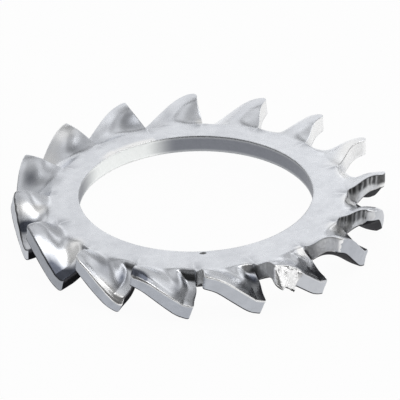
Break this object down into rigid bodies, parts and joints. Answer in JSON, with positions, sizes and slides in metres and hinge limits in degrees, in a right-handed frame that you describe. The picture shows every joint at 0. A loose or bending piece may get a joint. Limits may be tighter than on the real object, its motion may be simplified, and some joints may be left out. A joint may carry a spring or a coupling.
{
  "type": "toothed lock washer",
  "caption": "Flat steel ring with twisted teeth around its outer rim, clamped under a nut or bolt head so that the tooth corners bite and stop the joint working loose.",
  "frame": {"origin": "centre of the bore, halfway through the ring's thickness", "axes": "+Z along the bore axis, towards the raised tooth corners; +X through the middle of one tooth"},
  "size_m": [0.0206, 0.0206, 0.0029],
  "materials": {
    "zinc_plated_steel": "satin zinc plate over spring steel, bluish silver, brighter on the twisted teeth"
  },
  "bodies": {
    "root": {"lock_washer": "zinc_plated_steel"}
  },
  "joints": []
}
